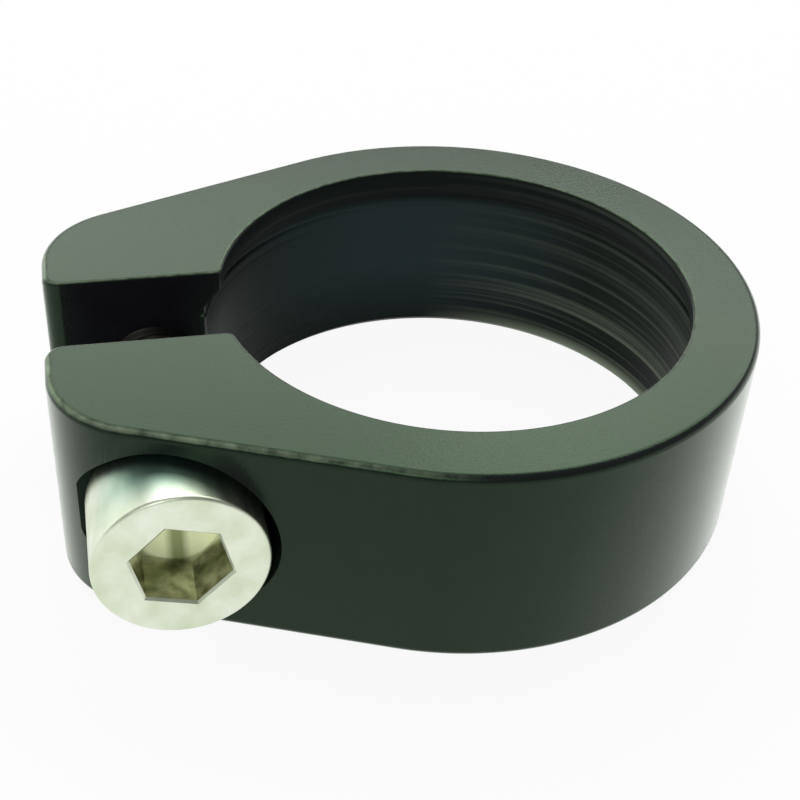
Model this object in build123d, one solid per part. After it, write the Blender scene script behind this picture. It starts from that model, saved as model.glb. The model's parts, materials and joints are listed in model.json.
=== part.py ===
from build123d import *
import os
from math import cos, radians, sin, sqrt

# Bolt-on seatpost clamp: a slotted collar, and the cap screw that draws its two ears together.
# All sizes are in millimetres. The origin is on the bore axis at the collar's lower face.
# +Z runs up the bore, the ears point along -X, and the screw's head is on the -Y side.

# The seat tube that is gripped from below, and the seatpost that passes the lip from above
seat_tube_diameter = 31.8
seatpost_diameter = 28.6
post_clearance = 0.6

# Collar
collar_height = 13.6
ring_wall = 3.15
lip_height = 1.35
lip_taper = 1.3
bore_lead_in = 0.4
lip_edge_break = 0.2
flank_angle = 21.9
slot_width = 6.65
ear_end_margin = 6.55
ear_corner_radius = 6.2
slot_corner_radius = 1.1
outer_edge_round = 0.3

# Screw, its seat in the near ear and its thread in the far ear
screw_diameter = 6.0
screw_length = 22.0
screw_end_chamfer = 0.7
head_diameter = 10.0
head_height = 6.0
head_edge_chamfer = 0.3
hex_across_flats = 5.05
hex_depth = 3.3
hex_cone_depth = 1.45
hex_mouth_bevel = 0.3
hex_turn = 45.0
seat_thickness = 6.45
head_room = 0.6
hole_clearance = 0.2
thread_clearance = 0.05
web_at_bore = 0.2

# Places that follow from the sizes above
bore_radius = seat_tube_diameter / 2
lip_radius = seatpost_diameter / 2 + post_clearance
ring_radius = bore_radius + ring_wall
screw_radius = screw_diameter / 2
hole_radius = screw_radius + hole_clearance
bore_edge_x = sqrt(bore_radius**2 - (slot_width / 2) ** 2)
screw_x = -(bore_edge_x + web_at_bore + hole_radius)
screw_z = collar_height / 2
ear_end_x = screw_x - ear_end_margin
seat_y = -(slot_width / 2 + seat_thickness)
head_front_y = seat_y - head_height
overrun = 1.0


def along_screw(y):
    """Plane square to the screw at y, with its normal along +Y and its origin on the screw's axis."""
    return Plane(origin=(screw_x, y, screw_z), x_dir=(1, 0, 0), z_dir=(0, 1, 0))


def rod(y_start, y_end, radius):
    """Round bar on the screw's axis."""
    return extrude(along_screw(y_start) * Circle(radius), y_end - y_start)


def collar_blank():
    """Ring and wedge of the ears in one outline, extruded, with its outer edges rounded."""
    lean = radians(flank_angle)
    tangent = Vector(-ring_radius * sin(lean), ring_radius * cos(lean))
    corner = Vector(ear_end_x, (ring_radius + ear_end_x * sin(lean)) / cos(lean))
    low_tangent = Vector(tangent.X, -tangent.Y)
    low_corner = Vector(corner.X, -corner.Y)
    ring_arc = ThreePointArc(low_tangent, (ring_radius, 0), tangent)
    sides = Polyline(tangent, corner, low_corner, low_tangent)
    outline = make_face(ring_arc.edges() + sides.edges())
    ear_corners = outline.vertices().group_by(Axis.X)[0]
    outline = fillet(ear_corners, ear_corner_radius)
    blank = extrude(outline, collar_height)
    rims = blank.faces().sort_by(Axis.Z)
    return fillet(rims[0].edges() + rims[-1].edges(), outer_edge_round)


def bore_space():
    """What the bore takes out: tube bore with its lead-in, tapered shoulder, and the lip above it."""
    taper_top = collar_height - lip_height
    profile = Polyline(
        (0, -overrun),
        (bore_radius + bore_lead_in + overrun, -overrun),
        (bore_radius, bore_lead_in),
        (bore_radius, taper_top - lip_taper),
        (lip_radius, taper_top),
        (lip_radius, collar_height - lip_edge_break),
        (lip_radius + lip_edge_break + overrun, collar_height + overrun),
        (0, collar_height + overrun),
        close=True,
    )
    return revolve(Plane.XZ * make_face(profile.edges()), Axis.Z)


def slot_space():
    """The slot between the ears, rounded out where it leaves them."""
    half = slot_width / 2
    wide = half + slot_corner_radius
    arc_x = ear_end_x + slot_corner_radius
    sides = Line((0, -half), (0, half)).edges()
    for side in (1, -1):
        sides += Line((0, side * half), (arc_x, side * half)).edges()
        sides += RadiusArc((arc_x, side * half), (ear_end_x, side * wide), side * slot_corner_radius).edges()
        sides += Line((ear_end_x, side * wide), (ear_end_x - overrun, side * wide)).edges()
    sides += Line((ear_end_x - overrun, -wide), (ear_end_x - overrun, wide)).edges()
    return extrude(make_face(sides), collar_height)


def screw_space():
    """Spot face for the head, clearance hole in the near ear and threaded hole in the far ear."""
    spot_face = rod(seat_y, -ring_radius, head_diameter / 2 + head_room)
    near_hole = rod(seat_y, 0, hole_radius)
    far_hole = rod(0, ring_radius, screw_radius + thread_clearance)
    return spot_face + near_hole + far_hole


def clamp_collar():
    """The collar, milled from one piece."""
    return collar_blank() - bore_space() - slot_space() - screw_space()


def hex_socket():
    """Six-sided key socket with a bevelled mouth and the drill's cone at its foot."""
    mouth = along_screw(head_front_y)
    flats_radius = hex_across_flats / 2
    hexagon = RegularPolygon(flats_radius, 6, major_radius=False, rotation=-hex_turn)
    wide_hexagon = RegularPolygon(flats_radius + hex_mouth_bevel, 6, major_radius=False, rotation=-hex_turn)
    prism = extrude(mouth * hexagon, hex_depth)
    bevel = loft([mouth * wide_hexagon, mouth.offset(hex_mouth_bevel) * hexagon])
    foot = along_screw(head_front_y + hex_depth + hex_cone_depth / 2)
    cone = foot * Cone(flats_radius, 0, hex_cone_depth)
    return prism + bevel + cone


def clamp_screw():
    """Socket head cap screw, seated in the spot face."""
    head = rod(head_front_y, seat_y, head_diameter / 2)
    front_edge = head.edges().sort_by(Axis.Y)[0]
    head = chamfer(front_edge, head_edge_chamfer)
    shank = rod(seat_y, seat_y + screw_length, screw_radius)
    end_edge = shank.edges().sort_by(Axis.Y)[-1]
    shank = chamfer(end_edge, screw_end_chamfer)
    return head + shank - hex_socket()


os.makedirs("parts", exist_ok=True)
export_step(clamp_collar(), "parts/clamp_collar.step")
export_step(clamp_screw(), "parts/clamp_screw.step")
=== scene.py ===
# %% [markdown]
# # A bolt-on seatpost clamp in Blender
#
# The clamp is two pieces: a slotted aluminium collar that slips over the top of a bicycle's seat tube,
# and the cap screw that draws its two ears together. The frame holds both as exact but plain solids.
# This lesson builds each one again as a finer mesh with the marks of its making, dresses it in the
# material of the real one, and sets the result on a white table before a camera and lamps.

# %% Load the frame
import json
from math import atan2, ceil, cos, exp, hypot, pi, radians, sin, sqrt
from random import Random

import bmesh
import bpy
from mathutils import Matrix, Vector


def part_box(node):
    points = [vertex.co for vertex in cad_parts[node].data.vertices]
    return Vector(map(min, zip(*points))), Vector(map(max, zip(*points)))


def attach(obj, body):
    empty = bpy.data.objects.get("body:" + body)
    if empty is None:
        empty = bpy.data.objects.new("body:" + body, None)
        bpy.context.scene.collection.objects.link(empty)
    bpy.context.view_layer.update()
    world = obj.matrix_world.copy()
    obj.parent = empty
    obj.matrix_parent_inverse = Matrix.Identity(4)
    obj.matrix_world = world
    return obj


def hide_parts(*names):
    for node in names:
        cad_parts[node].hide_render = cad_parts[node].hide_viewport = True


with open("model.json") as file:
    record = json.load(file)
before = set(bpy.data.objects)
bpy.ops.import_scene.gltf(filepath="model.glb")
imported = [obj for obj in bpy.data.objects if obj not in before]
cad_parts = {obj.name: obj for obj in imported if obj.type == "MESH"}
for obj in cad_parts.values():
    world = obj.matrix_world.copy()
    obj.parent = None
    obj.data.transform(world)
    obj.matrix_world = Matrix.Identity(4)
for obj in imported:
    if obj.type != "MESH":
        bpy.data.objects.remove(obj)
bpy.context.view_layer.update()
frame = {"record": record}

# %% [markdown]
# ## Sizes
#
# Blender works in metres, and a machinist thinks in millimetres, so every size below is a number of
# millimetres times MM. What the frame knows is read from it: the boxes of its two nodes, and the two
# bore radii in its record. The rest are the collar's own drawing sizes.

# %% Sizes that the frame gives
MM = 0.001

collar_low, collar_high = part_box("clamp_collar")
height = collar_high.z
ring_radius = collar_high.x
ear_end = collar_low.x

screw_low, screw_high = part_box("clamp_screw")
screw_x = (screw_low.x + screw_high.x) / 2
screw_z = (screw_low.z + screw_high.z) / 2
head_radius = (screw_high.x - screw_low.x) / 2
head_front = screw_low.y
screw_end = screw_high.y

mounts = {mount["name"]: mount for mount in frame["record"]["mounts"]}
bore_radius = mounts["seat_tube_bore"]["dims"]["r_mm"] * MM
lip_radius = mounts["seatpost_bore"]["dims"]["r_mm"] * MM
print(f"bore {bore_radius / MM:.2f} mm, lip {lip_radius / MM:.2f} mm, ring {ring_radius / MM:.2f} mm")

# %% Sizes of the collar's drawing
FLANK_LEAN = 21.9
HALF_SLOT = 6.65 / 2 * MM
EAR_CORNER = 6.2 * MM
SLOT_CORNER = 1.1 * MM
OUTER_EDGE = 0.5 * MM
BROKEN_EDGE = 0.2 * MM
LEAD_IN = 0.4 * MM
LIP_HEIGHT = 1.35 * MM
LIP_TAPER = 1.3 * MM

# %% [markdown]
# ## The collar's outline
#
# Seen from above, the collar is a ring that two straight flanks close into a blunt wedge. Half of the
# outline is enough: a small arc at the slot, the flat ear end, the large corner, the flank and half of
# the ring, with the other half mirrored. Each point keeps the direction that faces out of the metal,
# because the rounding of the edges is measured along it.

# %% Outline, as points with their outward directions
SLOT_STEPS = 8
EAR_STEPS = 24
RING_STEPS = 96


def arc(centre, radius, start, end, steps):
    """Points on an arc between two angles in degrees, each with its outward direction."""
    angles = [radians(start + (end - start) * i / steps) for i in range(steps + 1)]
    directions = [Vector((cos(a), sin(a))) for a in angles]
    return [(centre + radius * d, d) for d in directions]


def half_outline():
    """The outline on the far side, from the slot to the ring's end opposite the slot."""
    flank = Vector((-sin(radians(FLANK_LEAN)), cos(radians(FLANK_LEAN))))
    slot_centre = Vector((ear_end + SLOT_CORNER, HALF_SLOT + SLOT_CORNER))
    ear_x = ear_end + EAR_CORNER
    ear_centre = Vector((ear_x, (ring_radius - EAR_CORNER - flank.x * ear_x) / flank.y))
    flank_angle = 90 + FLANK_LEAN
    at_slot = arc(slot_centre, SLOT_CORNER, 270, 180, SLOT_STEPS)
    at_ear = arc(ear_centre, EAR_CORNER, 180, flank_angle, EAR_STEPS)
    at_ring = arc(Vector((0, 0)), ring_radius, flank_angle, 0, RING_STEPS)
    return at_slot + at_ear + at_ring


far_half = half_outline()
near_half = [(Vector((p.x, -p.y)), Vector((d.x, -d.y))) for p, d in reversed(far_half[:-1])]
outline = far_half + near_half
print(len(outline), "points round the collar")

# %% [markdown]
# ## The collar's wall, column by column
#
# A wall of this kind can be skinned: every outline point carries a column of points from the lower
# face to the upper one, and neighbouring columns are joined by quads. The columns bend inwards at both
# ends, which rounds the edges. Round the ring the beads have softened that radius to about half a
# millimetre, and along the slot it is only a broken edge, so it changes over gradually on the small
# arc at the slot.

# %% Columns of the outer wall
ROUND_STEPS = 6
quarter = [pi / 2 * k / ROUND_STEPS for k in range(ROUND_STEPS + 1)]


def rounding(radius):
    """Inset and height of a quarter round, from the flat face to the wall."""
    return [(radius * (1 - sin(a)), radius * (1 - cos(a))) for a in quarter]


def outer_column(point, direction, radius):
    """Points up the outer wall at one place of the outline."""
    low = rounding(radius)
    high = [(inset, height - z) for inset, z in reversed(low)]
    return [(*(point - inset * direction), z) for inset, z in low + high]


def edge_radius(index):
    """Edge radius at an outline point: small at the slot, full size from the ear end on."""
    steps_from_slot = min(index, len(outline) - 1 - index)
    return BROKEN_EDGE + (OUTER_EDGE - BROKEN_EDGE) * min(steps_from_slot / SLOT_STEPS, 1)


outer_columns = [outer_column(p, d, edge_radius(i)) for i, (p, d) in enumerate(outline)]
print(len(outer_columns), "columns of", len(outer_columns[0]), "points")

# %% [markdown]
# ## The bore, as the lathe left it
#
# The bore is turned: a lead-in at the bottom for the tube, the long gripping wall, a taper that stops
# the tube, and the lip that the seatpost passes. A tool that feeds along the bore leaves fine rings,
# a few coarser ones where it chattered, and one deeper line where it stopped short of the taper. They
# are shallow, but they break up every reflection, so they are part of the profile and not only bump.

# %% Profile of the bore, as radius and height
MARK_SPACING = 0.12 * MM
FINE_MARK = 0.004 * MM
CHATTER_MARK = 0.016 * MM
CHATTER_EVERY = 7
STOP_LINE_HEIGHT = 10.34 * MM
STOP_LINE_WIDTH = 0.09 * MM
STOP_LINE_DEPTH = 0.09 * MM
LIP_BREAK = 0.12 * MM

tool = Random(7)
taper_top = height - LIP_HEIGHT
taper_foot = taper_top - LIP_TAPER


def softened(before, corner, after):
    """Three points that round a corner by a hair."""
    return [before, before / 4 + corner / 2 + after / 4, after]


def turned_wall():
    """The gripping wall from the lead-in to the taper, with its turning marks and the stop line."""
    steps = ceil((taper_foot - LEAD_IN) / MARK_SPACING)
    rows = []
    for i in range(1, steps):
        z = LEAD_IN + (taper_foot - LEAD_IN) * i / steps
        mark = FINE_MARK * tool.random()
        if tool.randrange(CHATTER_EVERY) == 0:
            mark += CHATTER_MARK * tool.random()
        stop_line = STOP_LINE_DEPTH * exp(-(((z - STOP_LINE_HEIGHT) / STOP_LINE_WIDTH) ** 2))
        rows.append(Vector((bore_radius + stop_line + mark, z)))
    return rows


def bore_profile():
    """Rows up the bore: lead-in, wall, taper, lip and the lip's broken edge."""
    cone = [1 - k / ROUND_STEPS for k in range(ROUND_STEPS + 1)]
    lead_in = [Vector((bore_radius + LEAD_IN * t, LEAD_IN * (1 - t))) for t in cone]
    foot = Vector((bore_radius, taper_foot))
    shoulder = Vector((lip_radius, taper_top))
    before = shoulder + (foot - shoulder).normalized() * LIP_BREAK
    after = shoulder + Vector((0, LIP_BREAK))
    top = [Vector((lip_radius + inset, height - z)) for inset, z in reversed(rounding(BROKEN_EDGE))]
    return lead_in + turned_wall() + [foot] + softened(before, shoulder, after) + top


profile = bore_profile()
print(len(profile), "rows up the bore")

# %% [markdown]
# ## From the bore round the corner into the slot
#
# The slot cuts the bore open, so each row of the bore runs from one slot wall round to the other. The
# two upright corners are broken by a hair, as a deburring tool leaves them: without that, a rendered
# edge is infinitely sharp and catches no light. The rows that round the slot's upper and lower edges
# step back by the same inset, so that both roundings meet in a clean mitre.

# %% Columns of the bore
BORE_STEPS = 240
CORNER_BREAK = 0.35 * MM

slot_insets = [inset for inset, z in rounding(BROKEN_EDGE)]
row_insets = slot_insets + [0] * (len(profile) - 2 * len(slot_insets)) + slot_insets[::-1]


def corner_points(radius, inset, side):
    """Three points round the corner between a slot wall and the bore, from the wall to the bore."""
    wall_y = HALF_SLOT + inset
    bore_y = wall_y + CORNER_BREAK
    corner = Vector((-sqrt(radius**2 - wall_y**2), wall_y))
    on_wall = corner - Vector((CORNER_BREAK, 0))
    on_bore = Vector((-sqrt(radius**2 - bore_y**2), bore_y))
    return [Vector((p.x, side * p.y)) for p in softened(on_wall, corner, on_bore)]


def bore_row(radius, z, inset):
    """One row round the bore, from the far slot wall to the near one."""
    far = corner_points(radius, inset, 1)
    near = corner_points(radius, inset, -1)
    start = atan2(far[-1].y, far[-1].x)
    angles = [start * (1 - 2 * i / BORE_STEPS) for i in range(1, BORE_STEPS)]
    sweep = [Vector((radius * cos(a), radius * sin(a))) for a in angles]
    return [(*p, z) for p in far + sweep + near[::-1]]


bore_rows = [bore_row(r, z, inset) for (r, z), inset in zip(profile, row_insets)]
bore_columns = [list(column) for column in zip(*bore_rows)]
print(len(bore_columns), "columns round the bore")

# %% [markdown]
# ## Skinning the collar
#
# With all columns in place the mesh is simple: strips of quads on the outer wall and in the bore, two
# slot walls, and one large face each at the top and bottom. The slot walls have a short column on
# their outer side and a long one at the bore, so their middle is a single many-sided face.

# %% The collar without its screw holes
def strip(bm, left, right):
    """Quads between two columns of the same length."""
    for k in range(len(left) - 1):
        bm.faces.new((left[k], right[k], right[k + 1], left[k + 1]))


def slot_wall(bm, outer, inner):
    """The flat wall of the slot, with its rounded upper and lower edges."""
    edge = ROUND_STEPS + 1
    strip(bm, outer[:edge], inner[:edge])
    strip(bm, outer[-edge:], inner[-edge:])
    bm.faces.new(outer[edge - 1:edge + 1] + inner[edge - 1:len(inner) - edge + 1][::-1])


def skin_collar():
    """The closed collar as a bmesh."""
    bm = bmesh.new()
    outer = [[bm.verts.new(p) for p in column] for column in outer_columns]
    inner = [[bm.verts.new(p) for p in column] for column in bore_columns]
    for columns in (outer, inner):
        for left, right in zip(columns, columns[1:]):
            strip(bm, left, right)
    slot_wall(bm, outer[0], inner[0])
    slot_wall(bm, outer[-1], inner[-1])
    for row in (0, -1):
        bm.faces.new([column[row] for column in outer] + [column[row] for column in reversed(inner)])
    bmesh.ops.recalc_face_normals(bm, faces=bm.faces)
    return bm


def mesh_object(bm, name):
    """A new object from a bmesh, linked to the scene at the origin."""
    mesh = bpy.data.meshes.new(name)
    bm.to_mesh(mesh)
    bm.free()
    obj = bpy.data.objects.new(name, mesh)
    bpy.context.scene.collection.objects.link(obj)
    return obj


collar = mesh_object(skin_collar(), "anodised_collar")
print("collar:", len(collar.data.vertices), "points")

# %% [markdown]
# ## Spot face and screw holes
#
# A cutter turned about the screw's axis takes out all three in one Boolean: the flat-bottomed spot
# face that the head sinks into, the clearance hole in the near ear and the tapped hole in the far ear.
# The same loops-and-quads helper that makes the cutter makes the screw's head further down.

# %% A helper for round pieces on the screw's axis
def loop(radius, y, sides):
    """Points of a circle about the screw's axis."""
    angles = [2 * pi * i / sides for i in range(sides)]
    return [(screw_x + radius * cos(a), y, screw_z + radius * sin(a)) for a in angles]


def skin_loops(bm, loops):
    """Quads between loops of the same number of points, one after the other."""
    rings = [[bm.verts.new(p) for p in points] for points in loops]
    for ring, after in zip(rings, rings[1:]):
        strip(bm, ring + ring[:1], after + after[:1])
    return rings


# %% The cutter
HEAD_ROOM = 0.6 * MM
HEAD_HEIGHT = 6.0 * MM
NEAR_HOLE = 3.2 * MM
FAR_HOLE = 3.05 * MM
CUTTER_SIDES = 128

seat = head_front + HEAD_HEIGHT
spot_radius = head_radius + HEAD_ROOM


def screw_cutter():
    """What the spot face and the two holes take out of the collar."""
    reach = ring_radius + HEAD_HEIGHT
    steps = [
        (spot_radius, -reach),
        (spot_radius, seat),
        (NEAR_HOLE, seat),
        (NEAR_HOLE, 0),
        (FAR_HOLE, 0),
        (FAR_HOLE, reach),
    ]
    bm = bmesh.new()
    rings = skin_loops(bm, [loop(radius, y, CUTTER_SIDES) for radius, y in steps])
    bm.faces.new(rings[0])
    bm.faces.new(rings[-1])
    bmesh.ops.recalc_face_normals(bm, faces=bm.faces)
    return mesh_object(bm, "screw_cutter")


# %% Cut the collar
def settle(obj):
    """Turns an object's modifiers into its mesh."""
    graph = bpy.context.evaluated_depsgraph_get()
    mesh = bpy.data.meshes.new_from_object(obj.evaluated_get(graph), depsgraph=graph)
    obj.modifiers.clear()
    obj.data = mesh


cutter = screw_cutter()
cut = collar.modifiers.new("screw holes", "BOOLEAN")
cut.operation = "DIFFERENCE"
cut.solver = "EXACT"
cut.object = cutter
settle(collar)
bpy.data.objects.remove(cutter)
print("collar with its holes:", len(collar.data.polygons), "faces")

# %% [markdown]
# ## Breaking the last edges
#
# The Boolean leaves sharp edges where the spot face and the tapped hole come out of the flanks. A
# narrow bevel there gives the thin line of light that a broken edge has. The edges are found by what
# they are: sharp, and at the radius of the spot face or of the tapped hole. Round the ear's corner the
# spot face runs out in a knife edge, where a bevel would eat into the thin metal. So each edge carries
# a weight, and the bevel fades out towards that corner.

# %% Bevel the rims on the flanks
RIM_BREAK = 0.12 * MM
HAIR = 0.02 * MM
WELD = 0.001 * MM
SHARP = radians(35)
SQUARE = radians(90)
KNIFE = radians(120)


def from_screw_axis(point):
    """Distance of a point from the screw's axis."""
    return hypot(point.x - screw_x, point.z - screw_z)


def on_rim(edge):
    """Whether an edge is a sharp rim of the spot face or the tapped hole on a flank."""
    points = [vert.co for vert in edge.verts]
    near = all(abs(from_screw_axis(p) - spot_radius) < HAIR and p.y < seat - RIM_BREAK for p in points)
    far = all(abs(from_screw_axis(p) - FAR_HOLE) < HAIR and p.y > 2 * HALF_SLOT for p in points)
    return (near or far) and edge.is_manifold and edge.calc_face_angle() > SHARP


def rim_share(edge):
    """Share of the full break that an edge gets, from 1 on a square rim to 0 on a knife edge."""
    if not on_rim(edge):
        return 0
    return min(max((KNIFE - edge.calc_face_angle()) / (KNIFE - SQUARE), 0), 1)


bm = bmesh.new()
bm.from_mesh(collar.data)
bmesh.ops.remove_doubles(bm, verts=bm.verts, dist=WELD)
share = bm.edges.layers.float.new("bevel_weight_edge")
for edge in bm.edges:
    edge[share] = rim_share(edge)
broken = sum(edge[share] > 0 for edge in bm.edges)
print(broken, "rim edges broken;", sum(not e.is_manifold for e in bm.edges), "open edges")
bm.to_mesh(collar.data)
bm.free()

# %% Break the rims
bevel = collar.modifiers.new("broken rims", "BEVEL")
bevel.limit_method = "WEIGHT"
bevel.width = RIM_BREAK
bevel.segments = 2
settle(collar)

# %% [markdown]
# ## Shading that keeps flats flat
#
# Smooth shading bends the light across every edge it isn't told about. Edges above 35 degrees are
# marked sharp, and Weighted Normal lets the large flat faces decide the direction at their borders,
# so that only the narrow roundings shade as curves.

# %% Smooth the collar
def smooth(obj):
    """Smooth shading with sharp edges kept and flats left flat."""
    obj.data.shade_smooth()
    obj.data.set_sharp_from_angle(angle=SHARP)
    weighted = obj.modifiers.new("flat faces stay flat", "WEIGHTED_NORMAL")
    weighted.keep_sharp = True
    settle(obj)


smooth(collar)

# %% [markdown]
# ## The screw's head
#
# A cap screw's head is forged: a plain drum with a slightly rounded front edge and a six-sided socket
# pressed into it, with the cone of the drill that went in first at its foot. All its loops have 96
# points, a multiple of six, so that a circle and a hexagon can share their corners. The loops run from
# under the head, over its rim and down into the socket.

# %% Loops of the head
SHANK_RADIUS = 3.0 * MM
HEAD_EDGE = 0.25 * MM
HEX_FLAT = 5.05 / 2 * MM
HEX_DEPTH = 3.3 * MM
HEX_CONE = 1.45 * MM
HEX_BEVEL = 0.14 * MM
HEX_TURN = 45
SIDES = 96


def hex_loop(flat, y):
    """Points of a hexagon about the screw's axis, at the same angles as a circle's."""
    points = []
    for i in range(SIDES):
        angle = 2 * pi * i / SIDES
        from_corner = (angle - radians(HEX_TURN)) % radians(60)
        radius = flat / cos(from_corner - radians(30))
        points.append((screw_x + radius * cos(angle), y, screw_z + radius * sin(angle)))
    return points


def head_loops():
    """Loops from the shank over the head's rim to the foot of the socket."""
    under = [(SHANK_RADIUS, seat), (head_radius - BROKEN_EDGE, seat), (head_radius, seat - BROKEN_EDGE)]
    rim = [(head_radius - inset, head_front + z) for inset, z in reversed(rounding(HEAD_EDGE))]
    mouth_corner = (HEX_FLAT + HEX_BEVEL) / cos(radians(30))
    face = [(mouth_corner + BROKEN_EDGE, head_front)]
    circles = [loop(radius, y, SIDES) for radius, y in under + rim + face]
    foot = head_front + HEX_DEPTH
    socket = [
        hex_loop(HEX_FLAT + HEX_BEVEL, head_front),
        hex_loop(HEX_FLAT, head_front + HEX_BEVEL),
        hex_loop(HEX_FLAT, foot),
        loop(HEX_FLAT - BROKEN_EDGE, foot, SIDES),
        loop(BROKEN_EDGE, foot + HEX_CONE, SIDES),
    ]
    return circles, socket


circles, socket = head_loops()
print(len(circles), "loops on the head and", len(socket), "in the socket")

# %% [markdown]
# ## One helper for every node tree
#
# Materials and Geometry Nodes are both node trees, and both are built here in code. One small function
# adds a node, sets its options and fills its inputs. An input may be a plain value, an output of
# another node, or a node, which then stands for its first output.

# %% Adding a node
def add(tree, kind, inputs=None, **settings):
    """Adds a node. Inputs, by name or number, are values, sockets or nodes."""
    node = tree.nodes.new(kind)
    for name, value in settings.items():
        setattr(node, name, value)
    for key, value in (inputs or {}).items():
        if isinstance(value, bpy.types.Node):
            value = value.outputs[0]
        if isinstance(value, bpy.types.NodeSocket):
            tree.links.new(value, node.inputs[key])
        else:
            node.inputs[key].default_value = value
    return node


# %% Colours and new materials
def srgb(code):
    """Linear colour of an sRGB hex code."""
    parts = [int(code[i:i + 2], 16) / 255 for i in (1, 3, 5)]
    linear = [c / 12.92 if c <= 0.04045 else ((c + 0.055) / 1.055) ** 2.4 for c in parts]
    return (*linear, 1)


def new_material(name):
    """An empty material and its node tree."""
    material = bpy.data.materials.new(name)
    material.use_nodes = True
    material.node_tree.nodes.clear()
    return material, material.node_tree


# %% [markdown]
# ## Bright zinc plate
#
# Zinc plate with a clear passivation is a pale metal with a faint yellow-green cast. It is a little
# uneven, because the bath leaves a fine grain and the drawn wire's streaks show through on the side of
# the head. A metal is all reflection, so the pattern goes into its roughness and a slight bump. Inside
# the spot face the top of the head is painted a darker blue-green: partly a blue-green film, and partly
# painted shade where it mirrors the dark recess.

# %% Zinc plated steel
PLATING_GRAIN = 0.25 * MM
PLATING_CLOUD = 1.8 * MM
STREAK_WIDTH = 0.5 * MM
STREAK_STRETCH = (1, 0.06, 1)
FILM_SHADE_START = 0.2 * MM
FILM_SHADE_FULL = 2.4 * MM
FILM_SHADE_FOOT = 2.2 * MM


def zinc_plate():
    """Pale, slightly yellow-green plated steel, satin and a little cloudy."""
    material, tree = new_material("bright_zinc_plated_steel")
    place = add(tree, "ShaderNodeTexCoord").outputs["Object"]
    cloud = add(tree, "ShaderNodeTexNoise", {"Vector": place, "Scale": 1 / PLATING_CLOUD, "Detail": 4})
    thin = add(tree, "ShaderNodeMapRange", {
        "Value": cloud.outputs["Fac"], "From Min": 0.3, "From Max": 0.7})
    grain = add(tree, "ShaderNodeTexNoise", {"Vector": place, "Scale": 1 / PLATING_GRAIN, "Detail": 2})
    along = add(tree, "ShaderNodeMapping", {"Vector": place, "Scale": STREAK_STRETCH})
    streak = add(tree, "ShaderNodeTexNoise", {"Vector": along, "Scale": 1 / STREAK_WIDTH, "Detail": 2})
    at = add(tree, "ShaderNodeSeparateXYZ", {0: place}).outputs
    # Inside and above: the top of the head in the spot face, painted darker blue-green as film and
    # painted shade.
    inside = add(tree, "ShaderNodeMapRange", {
        "Value": at["Y"], "From Min": head_front + FILM_SHADE_START, "From Max": head_front + FILM_SHADE_FULL})
    above = add(tree, "ShaderNodeMapRange", {
        "Value": at["Z"], "From Min": screw_z + FILM_SHADE_FOOT, "From Max": screw_z + head_radius})
    film_and_shade = add(tree, "ShaderNodeMath", {0: inside, 1: above}, operation="MULTIPLY")
    plate = add(tree, "ShaderNodeMix", {
        "Factor": thin, "A": srgb("#D4E0C3"), "B": srgb("#EDF3E2")}, data_type="RGBA")
    colour = add(tree, "ShaderNodeMix", {
        "Factor": film_and_shade, "A": plate.outputs["Result"], "B": srgb("#93BDAB")}, data_type="RGBA")
    rough = add(tree, "ShaderNodeMapRange", {
        "Value": streak.outputs["Fac"], "To Min": 0.30, "To Max": 0.48})
    relief = add(tree, "ShaderNodeMath", {
        0: grain.outputs["Fac"], 1: streak.outputs["Fac"]}, operation="ADD")
    bump = add(tree, "ShaderNodeBump", {"Height": relief, "Strength": 0.12, "Distance": 0.05 * MM})
    metal = add(tree, "ShaderNodeBsdfPrincipled", {
        "Base Color": colour.outputs["Result"], "Metallic": 1.0, "Roughness": rough, "Normal": bump})
    add(tree, "ShaderNodeOutputMaterial", {"Surface": metal})
    return material


zinc = zinc_plate()
print("made", zinc.name)

# %% [markdown]
# ## The screw's thread
#
# A thread is a rule and not a list of points: the radius depends only on how far a point is along the
# helix. Geometry Nodes suit that. A flat grid is rolled up round the axis, its rows sheared by one
# pitch a turn so that they follow the helix, and each row's place in the pitch gives the 60 degree
# profile with its flat crest. The shank stays plain through the near ear and the slot, the thread
# fades in just before the far ear, and it ends in a chamfer.

# %% Sizes of the thread, which become the tree's inputs
thread_sizes = {
    "Length": screw_end - seat,
    "Plain length": HALF_SLOT - seat,
    "Pitch": 1.0 * MM,
    "Crest radius": SHANK_RADIUS,
    "Root radius": 2.39 * MM,
    "Run-out": 1.5 * MM,
    "End chamfer": 0.7 * MM,
    "Axis X": screw_x,
    "Seat Y": seat,
    "Axis Z": screw_z,
}
ROWS_A_PITCH = 16
FLAT_CREST = 1 / 16
FLAT_ROOT = 3 / 8
THREAD_WELD = 0.002 * MM


# %% The thread's node tree, from the grid to the radius
def thread_inputs(tree):
    """Gives the tree its named sizes and its output, and returns the sizes' sockets."""
    for name, value in thread_sizes.items():
        entry = tree.interface.new_socket(name, in_out="INPUT", socket_type="NodeSocketFloat")
        entry.default_value = value
    tree.interface.new_socket("Geometry", in_out="OUTPUT", socket_type="NodeSocketGeometry")
    return add(tree, "NodeGroupInput").outputs


def thread_places(tree, size):
    """Where a grid point lies: round the axis from 0 to 1, along its row, and along the screw."""
    at = add(tree, "ShaderNodeSeparateXYZ", {0: add(tree, "GeometryNodeInputPosition")}).outputs
    around = add(tree, "ShaderNodeMath", {0: at["X"], 1: 0.5}, operation="ADD")
    share = add(tree, "ShaderNodeMath", {0: at["Y"], 1: 0.5}, operation="ADD")
    reach = add(tree, "ShaderNodeMath", {0: size["Length"], 1: size["Pitch"]}, operation="ADD")
    row = add(tree, "ShaderNodeMath", {0: share, 1: reach}, operation="MULTIPLY")
    shear = add(tree, "ShaderNodeMath", {0: around, 1: size["Pitch"]}, operation="MULTIPLY")
    sheared = add(tree, "ShaderNodeMath", {0: row, 1: shear}, operation="SUBTRACT")
    along = add(tree, "ShaderNodeClamp", {"Value": sheared, "Min": 0.0, "Max": size["Length"]})
    return around, row, along


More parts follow.
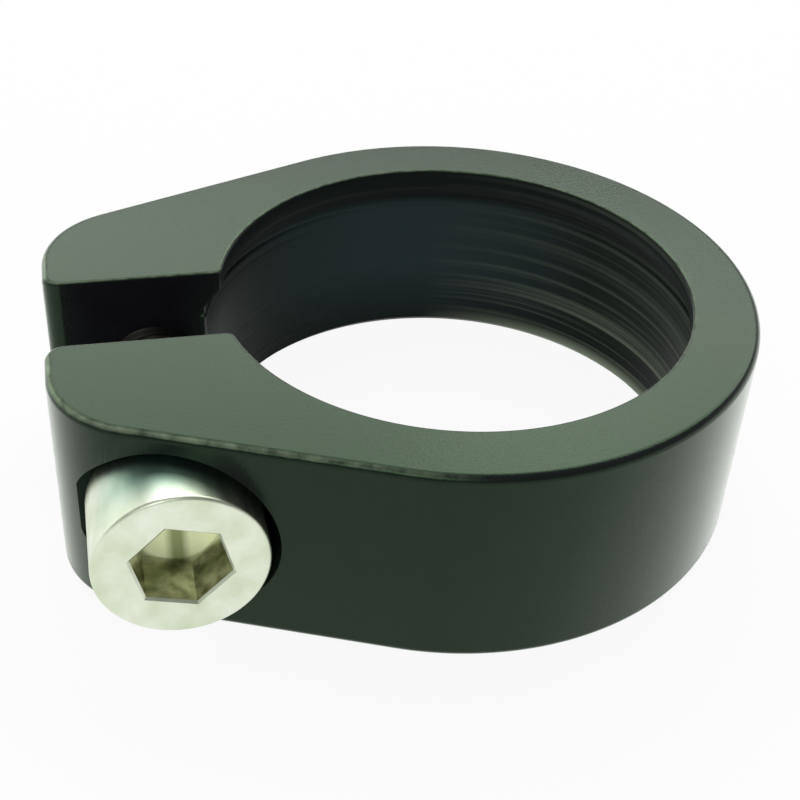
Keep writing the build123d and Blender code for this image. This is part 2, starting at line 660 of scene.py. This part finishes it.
def thread_radius(tree, size, row, along):
    """Radius of the shank: plain, then the thread's profile, then the end's chamfer."""
    turn = add(tree, "ShaderNodeMath", {0: row, 1: size["Pitch"]}, operation="DIVIDE")
    part = add(tree, "ShaderNodeMath", {0: turn}, operation="FRACT")
    centred = add(tree, "ShaderNodeMath", {0: part, 1: 0.5}, operation="SUBTRACT")
    wave = add(tree, "ShaderNodeMath", {0: centred}, operation="ABSOLUTE")
    cut = add(tree, "ShaderNodeMapRange", {
        "Value": wave, "From Min": FLAT_CREST, "From Max": FLAT_ROOT})
    start = add(tree, "ShaderNodeMath", {
        0: size["Plain length"], 1: size["Run-out"]}, operation="SUBTRACT")
    fade = add(tree, "ShaderNodeMapRange", {
        "Value": along, "From Min": start, "From Max": size["Plain length"]})
    depth = add(tree, "ShaderNodeMath", {
        0: size["Crest radius"], 1: size["Root radius"]}, operation="SUBTRACT")
    groove = add(tree, "ShaderNodeMath", {0: depth, 1: cut}, operation="MULTIPLY")
    faded = add(tree, "ShaderNodeMath", {0: groove, 1: fade}, operation="MULTIPLY")
    threaded = add(tree, "ShaderNodeMath", {0: size["Crest radius"], 1: faded}, operation="SUBTRACT")
    to_end = add(tree, "ShaderNodeMath", {0: size["Length"], 1: along}, operation="SUBTRACT")
    tip = add(tree, "ShaderNodeMath", {
        0: size["Crest radius"], 1: size["End chamfer"]}, operation="SUBTRACT")
    chamfer = add(tree, "ShaderNodeMath", {0: tip, 1: to_end}, operation="ADD")
    return add(tree, "ShaderNodeMath", {0: threaded, 1: chamfer}, operation="MINIMUM")


# %% The thread's node tree, rolled up
def thread_tree():
    """Rolls a sheared grid into a shank with a right-hand thread."""
    tree = bpy.data.node_groups.new("screw thread", "GeometryNodeTree")
    size = thread_inputs(tree)
    turns = thread_sizes["Length"] / thread_sizes["Pitch"] + 1
    rows = ceil(turns * ROWS_A_PITCH) + 1
    grid = add(tree, "GeometryNodeMeshGrid", {
        "Size X": 1.0, "Size Y": 1.0, "Vertices X": SIDES + 1, "Vertices Y": rows})
    around, row, along = thread_places(tree, size)
    radius = thread_radius(tree, size, row, along)
    angle = add(tree, "ShaderNodeMath", {0: around, 1: 2 * pi}, operation="MULTIPLY")
    circle = [add(tree, "ShaderNodeMath", {0: angle}, operation=kind) for kind in ("COSINE", "SINE")]
    x, z = [add(tree, "ShaderNodeMath", {0: radius, 1: part}, operation="MULTIPLY") for part in circle]
    off_axis = add(tree, "ShaderNodeCombineXYZ", {"X": x, "Y": along, "Z": z})
    axis = add(tree, "ShaderNodeCombineXYZ", {
        "X": size["Axis X"], "Y": size["Seat Y"], "Z": size["Axis Z"]})
    spot = add(tree, "ShaderNodeVectorMath", {0: off_axis, 1: axis}, operation="ADD")
    rolled = add(tree, "GeometryNodeSetPosition", {"Geometry": grid, "Position": spot})
    welded = add(tree, "GeometryNodeMergeByDistance", {"Geometry": rolled, "Distance": THREAD_WELD})
    real = add(tree, "GeometryNodeRealizeInstances", {"Geometry": welded})
    plated = add(tree, "GeometryNodeSetMaterial", {"Geometry": real, "Material": zinc})
    add(tree, "NodeGroupOutput", {"Geometry": plated})
    return tree


# %% Roll the thread
def rolled_thread():
    """The threaded shank as a plain mesh."""
    carrier = mesh_object(bmesh.new(), "thread_carrier")
    nodes = carrier.modifiers.new("thread", "NODES")
    nodes.node_group = thread_tree()
    for item in nodes.node_group.interface.items_tree:
        if item.in_out == "INPUT":
            nodes[item.identifier] = thread_sizes[item.name]
    settle(carrier)
    mesh = carrier.data
    bpy.data.objects.remove(carrier)
    return mesh


thread_mesh = rolled_thread()
print("thread:", len(thread_mesh.vertices), "points")

# %% [markdown]
# ## One closed screw
#
# Head, socket and thread share their border points, so merging doubles closes the screw into one
# shell, and only the flat end is left to fill.

# %% Join the screw
def join_screw():
    """Head, socket and thread as one closed mesh."""
    bm = bmesh.new()
    bm.from_mesh(thread_mesh)
    rings = skin_loops(bm, circles + socket)
    bm.faces.new(rings[-1])
    bmesh.ops.remove_doubles(bm, verts=bm.verts, dist=THREAD_WELD)
    bmesh.ops.holes_fill(bm, edges=[edge for edge in bm.edges if edge.is_boundary])
    bmesh.ops.recalc_face_normals(bm, faces=bm.faces)
    print("screw:", len(bm.faces), "faces,", sum(not e.is_manifold for e in bm.edges), "open edges")
    return bm


screw = mesh_object(join_screw(), "cap_screw")
smooth(screw)

# %% [markdown]
# ## Socket and shank, with painted shade
#
# In the socket the plate is thin and yellowish, and its walls are painted a darker grey-olive, in
# blotches, as painted shade inside the socket. The foot is a duller but clearer yellow, with a painted
# dark reflection down its middle. It is all still metal, so the paint is in the colour and the
# roughness. How deep a point lies, read from the object's own Y, says which of the two it gets. The
# shank is painted dark as the shade between the ears, so little light comes back from there.

# %% Stained plate in the socket
WALL_BLOTCH = 0.8 * MM
DARK_BAND_CORE = 0.225 * MM
DARK_BAND_EDGE = 0.75 * MM
socket_foot = head_front + HEX_DEPTH


def socket_plate_painted_shade():
    """Socket plate: walls painted darker as shade, a clear yellow foot with a painted dark reflection.
    """
    material, tree = new_material("socket_zinc_painted_shade")
    place = add(tree, "ShaderNodeTexCoord").outputs["Object"]
    at = add(tree, "ShaderNodeSeparateXYZ", {0: place}).outputs
    deep = add(tree, "ShaderNodeMapRange", {
        "Value": at["Y"], "From Min": socket_foot - HAIR, "From Max": socket_foot})
    # The dark band down the middle of the foot is a painted reflection of the dim front.
    aside = add(tree, "ShaderNodeMath", {0: at["X"], 1: screw_x}, operation="SUBTRACT")
    from_middle = add(tree, "ShaderNodeMath", {0: aside}, operation="ABSOLUTE")
    off_dark_band = add(tree, "ShaderNodeMapRange", {
        "Value": from_middle, "From Min": DARK_BAND_CORE, "From Max": DARK_BAND_EDGE})
    patch = add(tree, "ShaderNodeTexNoise", {"Vector": place, "Scale": 1 / WALL_BLOTCH, "Detail": 4})
    blot = add(tree, "ShaderNodeMapRange", {
        "Value": patch.outputs["Fac"], "From Min": 0.35, "From Max": 0.65})
    # The walls' darker colours are painted shade inside the socket, and the blotches vary at random.
    wall = add(tree, "ShaderNodeMix", {
        "Factor": blot, "A": srgb("#9A9986"), "B": srgb("#D6D5C4")}, data_type="RGBA")
    foot = add(tree, "ShaderNodeMix", {
        "Factor": off_dark_band, "A": srgb("#9BA673"), "B": srgb("#F6FFCE")}, data_type="RGBA")
    colour = add(tree, "ShaderNodeMix", {
        "Factor": deep, "A": wall.outputs["Result"], "B": foot.outputs["Result"]}, data_type="RGBA")
    rough = add(tree, "ShaderNodeMapRange", {"Value": deep, "To Min": 0.24, "To Max": 0.40})
    bump = add(tree, "ShaderNodeBump", {
        "Height": patch.outputs["Fac"], "Strength": 0.15, "Distance": 0.05 * MM})
    metal = add(tree, "ShaderNodeBsdfPrincipled", {
        "Base Color": colour.outputs["Result"], "Metallic": 1.0, "Roughness": rough, "Normal": bump})
    add(tree, "ShaderNodeOutputMaterial", {"Surface": metal})
    return material


# %% Shank painted dark as shade
def shank_steel_painted_shade():
    """Steel painted near black as the shade between the ears, with cloudy patches along the thread."""
    material, tree = new_material("shank_steel_painted_shade")
    place = add(tree, "ShaderNodeTexCoord").outputs["Object"]
    shank_cloud = add(tree, "ShaderNodeTexNoise", {"Vector": place, "Scale": 1 / PLATING_CLOUD, "Detail": 4})
    # Both colours are near black: painted shade for the shank in the slot between the ears.
    colour = add(tree, "ShaderNodeMix", {
        "Factor": shank_cloud.outputs["Fac"], "A": srgb("#1C1D1C"), "B": srgb("#33342F")}, data_type="RGBA")
    rough = add(tree, "ShaderNodeMapRange", {
        "Value": shank_cloud.outputs["Fac"], "To Min": 0.3, "To Max": 0.5})
    metal = add(tree, "ShaderNodeBsdfPrincipled", {
        "Base Color": colour.outputs["Result"], "Metallic": 1.0, "Roughness": rough})
    add(tree, "ShaderNodeOutputMaterial", {"Surface": metal})
    return material


# %% Give the screw's faces their finish
finishes = [zinc, socket_plate_painted_shade(), shank_steel_painted_shade()]


def screw_finish(face):
    """Number of a face's finish: 0 is bare plate, 1 is the socket below its bevel, 2 is the shank."""
    radius = from_screw_axis(face.center)
    if face.center.y > seat + HAIR:
        return 2
    return int(radius < HEX_FLAT / cos(radians(30)) and head_front + HEX_BEVEL < face.center.y)


screw.data.materials.clear()
for finish in finishes:
    screw.data.materials.append(finish)
for face in screw.data.polygons:
    face.material_index = screw_finish(face)
numbers = [face.material_index for face in screw.data.polygons]
print({finish.name: numbers.count(i) for i, finish in enumerate(finishes)})

# %% [markdown]
# ## Where the collar is rubbed, and where its edges carry a painted highlight
#
# Bags, hands and spanners rub the ears, so the finish there is thinner along the edges, and the saw
# left a burr where the slot meets the bore. The pale metal that shows there also stands for the
# highlight that these edges catch, so it is partly wear and partly a painted highlight. The mesh knows
# its edges: a rounding faces neither straight up nor straight out. A number on every point, 1 in the
# upper part of a rounding and 0 on the flats, tells the material where to let the metal show. It fades
# out towards the ring, which is rubbed less.

# %% Measure the rubbed edges
RUB_HIGHLIGHT_START = 1.0 * MM
RUB_HIGHLIGHT_FULL = -12.0 * MM
LIP_RUB_HIGHLIGHT = 0.8
BURR_HIGHLIGHT = 0.6


def rubbed_and_lit(vertex):
    """How much of the edge wear and painted edge highlight a point gets, from 0 to 1."""
    x, y, z = vertex.co
    from_axis = hypot(x, y)
    at_corner = x < 0 and HALF_SLOT + HAIR < abs(y) < HALF_SLOT + CORNER_BREAK - HAIR
    # The pale strip at the slot's corner is partly a burr and partly a painted highlight.
    if at_corner and z < height - BROKEN_EDGE:
        clear_of_hole = from_screw_axis(vertex.co) > NEAR_HOLE + HAIR
        return BURR_HIGHLIGHT if clear_of_hole and from_axis < bore_radius + CORNER_BREAK else 0
    tilt = vertex.normal.z**4
    on_edge = 4 * tilt * (1 - tilt) if min(z, height - z) < OUTER_EDGE else 0
    if from_axis < lip_radius + OUTER_EDGE:
        return on_edge * LIP_RUB_HIGHLIGHT
    return on_edge * min(max((x - RUB_HIGHLIGHT_START) / (RUB_HIGHLIGHT_FULL - RUB_HIGHLIGHT_START), 0), 1)


wear = collar.data.attributes.new("edge_wear_and_highlight", "FLOAT", "POINT")
wear.data.foreach_set("value", [rubbed_and_lit(vertex) for vertex in collar.data.vertices])
print(sum(rubbed_and_lit(vertex) > 0.5 for vertex in collar.data.vertices), "points on rubbed edges")

# %% [markdown]
# ## Black anodised aluminium, bead blasted
#
# The collar was blasted with fine beads and then anodised black. The dyed oxide takes nearly all the
# colour away, and what is left is the soft gloss of the oxide's surface: dark where it is seen square
# on, pale where it is seen at a glancing angle, with a green cast from the dye. The pores are sealed at
# the end, and a thin coat stands for that. Its index is low, so it adds to the glow of walls seen at a
# glance and hardly anything to faces seen square on, and a little sheen does the same for dust. The
# beads leave a fine grain. Real grain is about 0.05 mm, under one pixel, so it is drawn at 0.2 mm.

# %% Blasted and anodised finish
BLAST_GRAIN = 0.2 * MM
DYE_PATCH = 2.2 * MM
WEAR_HIGHLIGHT_FLECK = 0.8 * MM
DYE_TINT = "#A6FF98"


def blasted_anodised():
    """Near-black dyed oxide, finely grained gloss, pale flecks of wear and painted highlight on edges.
    """
    material, tree = new_material("bead_blasted_anodised_aluminium")
    place = add(tree, "ShaderNodeTexCoord").outputs["Object"]
    patch = add(tree, "ShaderNodeTexNoise", {"Vector": place, "Scale": 1 / DYE_PATCH, "Detail": 2})
    grain = add(tree, "ShaderNodeTexNoise", {"Vector": place, "Scale": 1 / BLAST_GRAIN, "Detail": 2})
    fleck = add(tree, "ShaderNodeTexNoise", {"Vector": place, "Scale": 1 / WEAR_HIGHLIGHT_FLECK, "Detail": 3})
    # The pale flecks along the edges are partly wear and partly a painted highlight.
    edge = add(tree, "ShaderNodeAttribute", attribute_name="edge_wear_and_highlight").outputs["Fac"]
    fleck_wear_highlight = add(tree, "ShaderNodeMath", {0: edge, 1: fleck.outputs["Fac"]}, operation="MULTIPLY")
    bare = add(tree, "ShaderNodeMapRange", {"Value": fleck_wear_highlight, "From Min": 0.12, "From Max": 0.72})
    dye = add(tree, "ShaderNodeMix", {
        "Factor": patch.outputs["Fac"], "A": srgb("#151319"), "B": srgb("#211D28")}, data_type="RGBA")
    colour = add(tree, "ShaderNodeMix", {
        "Factor": bare, "A": dye.outputs["Result"], "B": srgb("#98A18F")}, data_type="RGBA")
    rough = add(tree, "ShaderNodeMapRange", {
        "Value": patch.outputs["Fac"], "To Min": 0.18, "To Max": 0.26})
    bump = add(tree, "ShaderNodeBump", {
        "Height": grain.outputs["Fac"], "Strength": 0.6, "Distance": 0.03 * MM})
    oxide = add(tree, "ShaderNodeBsdfPrincipled", {
        "Base Color": colour.outputs["Result"], "Metallic": 0.0, "Roughness": rough, "Normal": bump,
        "IOR": 1.31, "Specular Tint": srgb(DYE_TINT), "Sheen Weight": 1.0, "Sheen Roughness": 0.3,
        "Coat Weight": 1.0, "Coat IOR": 1.15, "Coat Roughness": 0.2, "Coat Tint": srgb("#F4FFF2")})
    add(tree, "ShaderNodeOutputMaterial", {"Surface": oxide})
    return material


# %% [markdown]
# ## The same oxide over turned metal
#
# The bore, the spot face and the holes were cut last and never blasted. The oxide over a tool's marks
# is darker and bluer, with rings that follow the tool. Light and shade are painted into its colour: the
# far wall is paler and bluer as a painted reflection, and painted shade darkens it near the bottom and
# from the stop line up to the lip, where it is blackest. The rings of the bore lie at fixed heights, so
# a noise that is stretched flat in X and Y draws them. Real ones are 0.1 to 0.2 mm apart, a few pixels,
# and are drawn at 0.4 mm to show. On the side opposite the ears the band above the lead-in and the
# crests of the lower rings are painted pale, as a reflection of the lit table.

# %% Turned and anodised finish
RING_SPACING = 0.4 * MM
RING_STRETCH = (0.01, 0.01, 1)
PAINTED_LIT_EDGE = 0.9 * MM
PAINTED_LIT_SIDE = 2.0 * MM
BLUE_FROM = 0.6 * bore_radius
LOW_BAND = bore_radius / 3
PAINTED_LIT_TOP = 8.0 * MM


def turned_anodised():
    """Blue-black dyed oxide with fine rings round the bore, and painted light and shade in its colour.
    """
    material, tree = new_material("turned_anodised_aluminium")
    place = add(tree, "ShaderNodeTexCoord").outputs["Object"]
    at = add(tree, "ShaderNodeSeparateXYZ", {0: place}).outputs
    flat = add(tree, "ShaderNodeMapping", {"Vector": place, "Scale": RING_STRETCH})
    rings = add(tree, "ShaderNodeTexNoise", {"Vector": flat, "Scale": 1 / RING_SPACING, "Detail": 3})
    # Opposite the ears, the lower crests and the band above the lead-in are a painted reflection of the
    # lit table.
    side = add(tree, "ShaderNodeMapRange", {
        "Value": at["X"], "From Min": PAINTED_LIT_SIDE, "From Max": bore_radius})
    crest = add(tree, "ShaderNodeMapRange", {
        "Value": rings.outputs["Fac"], "From Min": 0.45, "From Max": 0.7, "To Max": 0.5})
    lit_crests_low = add(tree, "ShaderNodeMapRange", {
        "Value": at["Z"], "From Min": 0.0, "From Max": PAINTED_LIT_TOP, "To Min": 1.0, "To Max": 0.2})
    lit_crests = add(tree, "ShaderNodeMath", {0: crest, 1: lit_crests_low}, operation="MULTIPLY")
    edge = add(tree, "ShaderNodeMapRange", {
        "Value": at["Z"], "From Min": LEAD_IN, "From Max": LEAD_IN + PAINTED_LIT_EDGE,
        "To Min": 1.0, "To Max": 0.0})
    either = add(tree, "ShaderNodeMath", {0: lit_crests, 1: edge}, operation="MAXIMUM")
    pale = add(tree, "ShaderNodeMath", {0: either, 1: side}, operation="MULTIPLY")
    # The far wall is painted paler and bluer as a painted reflection, and the sides stay darker.
    far = add(tree, "ShaderNodeMapRange", {
        "Value": at["Y"], "From Min": BLUE_FROM, "From Max": bore_radius})
    blue = add(tree, "ShaderNodeMix", {
        "Factor": far, "A": srgb("#222B25"), "B": srgb("#3C494C")}, data_type="RGBA")
    # Painted shade: darker towards the bottom of the bore.
    low = add(tree, "ShaderNodeMapRange", {
        "Value": at["Z"], "From Min": 0.0, "From Max": LOW_BAND, "To Min": 0.8, "To Max": 0.0})
    wall = add(tree, "ShaderNodeMix", {
        "Factor": low, "A": blue.outputs["Result"], "B": srgb("#1E221E")}, data_type="RGBA")
    # Painted shade: darker from the stop line up to the lip.
    lip = add(tree, "ShaderNodeMapRange", {
        "Value": at["Z"], "From Min": STOP_LINE_HEIGHT, "From Max": taper_foot + LIP_BREAK})
    dyed = add(tree, "ShaderNodeMix", {
        "Factor": lip, "A": wall.outputs["Result"], "B": srgb("#1F2524")}, data_type="RGBA")
    colour = add(tree, "ShaderNodeMix", {
        "Factor": pale, "A": dyed.outputs["Result"], "B": srgb("#D3E2C8")}, data_type="RGBA")
    rough = add(tree, "ShaderNodeMapRange", {
        "Value": rings.outputs["Fac"], "To Min": 0.24, "To Max": 0.42})
    bump = add(tree, "ShaderNodeBump", {
        "Height": rings.outputs["Fac"], "Strength": 0.3, "Distance": 0.03 * MM})
    oxide = add(tree, "ShaderNodeBsdfPrincipled", {
        "Base Color": colour.outputs["Result"], "Metallic": 0.0, "Roughness": rough, "Normal": bump,
        "IOR": 1.12, "Specular Tint": srgb("#D8FBF0")})
    add(tree, "ShaderNodeOutputMaterial", {"Surface": oxide})
    return material


# %% Which faces were cut last
FACES_IN = 0.1


def was_turned(mesh, face):
    """Whether a face belongs to the bore below its lip's edge, the spot face or a screw hole."""
    points = [mesh.vertices[i].co for i in face.vertices]
    inside = all(hypot(p.x, p.y) < bore_radius + LEAD_IN + HAIR for p in points)
    below = all(p.z < height - BROKEN_EDGE + HAIR for p in points)
    inwards = face.center.xy.dot(face.normal.xy) < -FACES_IN * face.center.xy.length
    in_holes = any(all(abs(from_screw_axis(p) - r) < 2 * HAIR for p in points)
                   for r in (spot_radius, NEAR_HOLE, FAR_HOLE))
    on_seat = all(abs(p.y - seat) < HAIR for p in points)
    return inside and below and inwards or in_holes or on_seat


collar.data.materials.clear()
collar.data.materials.append(blasted_anodised())
collar.data.materials.append(turned_anodised())
for face in collar.data.polygons:
    face.material_index = int(was_turned(collar.data, face))
print(sum(face.material_index for face in collar.data.polygons), "turned faces")

# %% [markdown]
# ## Pieces on their bodies
#
# Both pieces stand for a solid of the frame and move with its body, so that the screw turns in the
# collar when the frame's joint does.

# %% Hand the pieces to the frame
for piece, body, node, slot in (
    (collar, "collar", "clamp_collar", "anodised_aluminium"),
    (screw, "screw", "clamp_screw", "zinc_plated_steel"),
):
    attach(piece, body)
    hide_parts(node)
    piece.data.calc_loop_triangles()
    print(piece.name, len(piece.data.loop_triangles), "triangles")

# %% [markdown]
# ## White table
#
# The clamp lies on a wide white card. Its own shading keeps the clamp's shadow, and for what the
# camera sees, straight or in a reflection, most of it is plain white of strength 1. Light Path tells
# those rays apart, so the white adds no diffuse light to the clamp itself.

# %% Table
TABLE_HALF = 2.0
TABLE_DROP = 0.05 * MM
TABLE_WHITE = 0.92


def seen_directly(tree):
    """1 for rays from the camera, from a gloss or through a clear body, and 0 for the rest."""
    ray = add(tree, "ShaderNodeLightPath").outputs
    shown = add(tree, "ShaderNodeMath", {
        0: ray["Is Camera Ray"], 1: ray["Is Glossy Ray"]}, operation="MAXIMUM")
    return add(tree, "ShaderNodeMath", {0: shown, 1: ray["Is Transmission Ray"]}, operation="MAXIMUM")


def table():
    """A wide white table just under the collar."""
    bm = bmesh.new()
    bmesh.ops.create_grid(bm, x_segments=1, y_segments=1, size=TABLE_HALF)
    bmesh.ops.translate(bm, verts=bm.verts, vec=(0, 0, -TABLE_DROP))
    obj = mesh_object(bm, "table")
    material, tree = new_material("white_card")
    card = add(tree, "ShaderNodeBsdfDiffuse", {"Color": srgb("#F6F6F4")})
    white = add(tree, "ShaderNodeEmission", {"Color": (1, 1, 1, 1), "Strength": 1.0})
    share = add(tree, "ShaderNodeMath", {0: seen_directly(tree), 1: TABLE_WHITE}, operation="MULTIPLY")
    mixed = add(tree, "ShaderNodeMixShader", {0: share, 1: card, 2: white})
    add(tree, "ShaderNodeOutputMaterial", {"Surface": mixed})
    obj.data.materials.append(material)


table()

# %% [markdown]
# ## Camera
#
# The photograph was taken from close by, above the clamp and a little to the left of its screw, with
# the camera slightly rolled. Directions are given as an azimuth from the front and an elevation, and
# the lamps use the same helper.

# %% Camera
CAMERA_AZIMUTH = -14.2
CAMERA_ELEVATION = 37.07
CAMERA_ROLL = 3.46
CAMERA_DISTANCE = 91.55 * MM
CAMERA_AIM = Vector((-3.904 * MM, -2.709 * MM, 6.834 * MM))
CAMERA_LENS = 64.43
SENSOR = 36


def towards(azimuth, elevation):
    """Direction from the clamp at an azimuth from the front and an elevation, in degrees."""
    a, e = radians(azimuth), radians(elevation)
    return Vector((sin(a) * cos(e), -cos(a) * cos(e), sin(e)))


def place_camera():
    """The camera of the photograph."""
    data = bpy.data.cameras.new("camera")
    data.lens = CAMERA_LENS
    data.sensor_width = SENSOR
    data.clip_start = 1 * MM
    camera = bpy.data.objects.new("camera", data)
    bpy.context.scene.collection.objects.link(camera)
    view = towards(CAMERA_AZIMUTH, CAMERA_ELEVATION)
    camera.location = CAMERA_AIM + view * CAMERA_DISTANCE
    turn = view.to_track_quat("Z", "Y").to_matrix() @ Matrix.Rotation(radians(CAMERA_ROLL), 3, "Z")
    camera.rotation_euler = turn.to_euler()
    bpy.context.scene.camera = camera


place_camera()

# %% [markdown]
# ## Lamps
#
# A dark glossy thing is lit by what it mirrors. A wide soft box behind the clamp is what its top faces
# show, and a small one before it brightens the ring's front right. One above the ears draws the thin
# highlight along their edges, one on the left models the screw's head, and one in front reaches into
# the socket, the slot and the bore. Each lamp's power follows from how bright its face is to look, so
# that 1 means white paper and the numbers can be compared.

# %% Soft boxes
def soft_box(name, azimuth, elevation, distance, width, tall, brightness):
    """A soft box that faces the clamp. Brightness is what its face would show, 1 being white."""
    data = bpy.data.lights.new(name, "AREA")
    data.shape = "RECTANGLE"
    data.size = width
    data.size_y = tall
    data.energy = brightness * pi * width * tall
    lamp = bpy.data.objects.new(name, data)
    bpy.context.scene.collection.objects.link(lamp)
    view = towards(azimuth, elevation)
    lamp.location = view * distance
    lamp.rotation_euler = view.to_track_quat("Z", "Y").to_euler()
    lamp.visible_camera = False


soft_box("back_box", azimuth=160, elevation=47.5, distance=0.6, width=0.8, tall=0.42, brightness=3.05)
soft_box("side_box", azimuth=158, elevation=40, distance=0.55, width=0.09, tall=0.09, brightness=1.6)
soft_box("top_box", azimuth=-160, elevation=79, distance=0.5, width=0.14, tall=0.14, brightness=3.5)
soft_box("left_box", azimuth=-120, elevation=22, distance=0.5, width=0.62, tall=0.3, brightness=1.1)
soft_box("front_box", azimuth=-25, elevation=40, distance=0.5, width=0.25, tall=0.2, brightness=2.7)

# %% [markdown]
# ## Room
#
# The rest of the studio is dim, and that is what draws the dark line along the ring's front edge, which
# mirrors the ceiling on the photographer's side. Down at the horizon the table's white runs on as a
# white sweep.

# %% World
ROOM_LIGHT = 0.2
SWEEP_TOP = 0.06
SWEEP_END = 0.16


def room():
    """A dim, even room with a white sweep at the horizon."""
    world = bpy.data.worlds.new("room")
    bpy.context.scene.world = world
    world.use_nodes = True
    tree = world.node_tree
    tree.nodes.clear()
    way = add(tree, "ShaderNodeSeparateXYZ", {0: add(tree, "ShaderNodeTexCoord").outputs["Generated"]})
    sweep = add(tree, "ShaderNodeMapRange", {
        "Value": way.outputs["Z"], "From Min": SWEEP_TOP, "From Max": SWEEP_END,
        "To Min": 1.0, "To Max": ROOM_LIGHT})
    fill = add(tree, "ShaderNodeBackground", {"Color": (1, 1, 1, 1), "Strength": ROOM_LIGHT})
    white = add(tree, "ShaderNodeBackground", {"Color": (1, 1, 1, 1), "Strength": sweep})
    mixed = add(tree, "ShaderNodeMixShader", {0: seen_directly(tree), 1: fill, 2: white})
    add(tree, "ShaderNodeOutputWorld", {"Surface": mixed})


room()
bpy.context.scene.view_settings.view_transform = "Standard"
